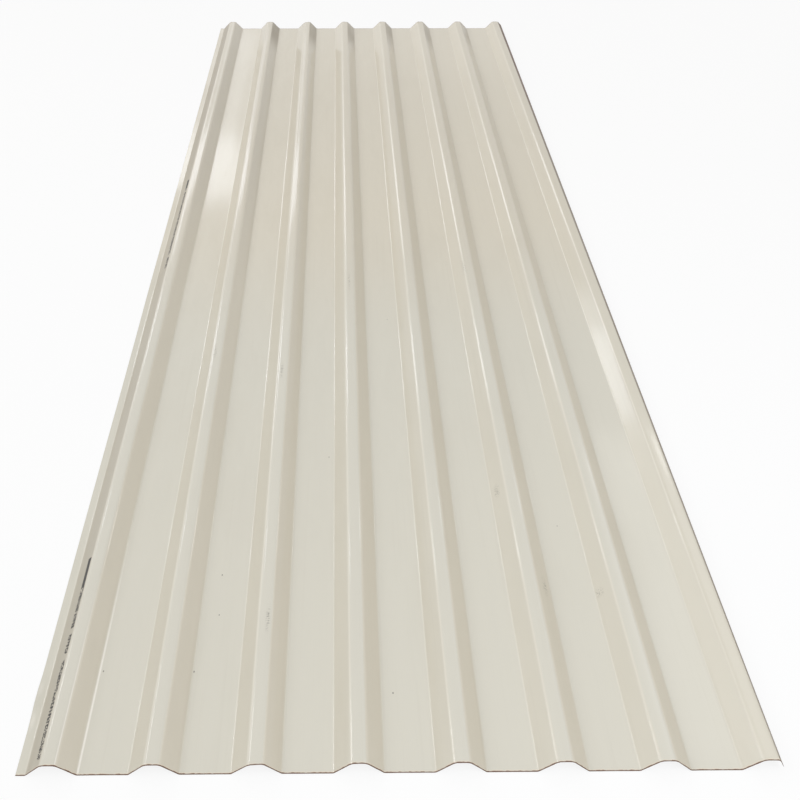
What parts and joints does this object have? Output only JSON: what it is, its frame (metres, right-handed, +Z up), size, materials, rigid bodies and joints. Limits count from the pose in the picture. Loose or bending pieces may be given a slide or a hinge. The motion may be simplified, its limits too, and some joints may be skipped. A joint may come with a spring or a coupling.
{
  "type": "box-rib metal roofing sheet",
  "caption": "Long thin roll-formed roofing and cladding sheet with trapezoidal ribs, flat pans, a flat lip along one side and a turned-down lap leg along the other.",
  "frame": {"origin": "middle of the sheet's footprint, on the level that the undersides of its pans lie on", "axes": "+Y along the ribs and the stock length, +X across the sheet from the flat lip to the turned-down lap leg, +Z up, the side that the ribs stand on"},
  "size_m": [1.0834, 3.05, 0.0259],
  "materials": {
    "sheet": "semi-gloss bone-white coil coating on thin galvanised steel"
  },
  "bodies": {
    "root": {"corrugated_sheet": "sheet"}
  },
  "joints": []
}
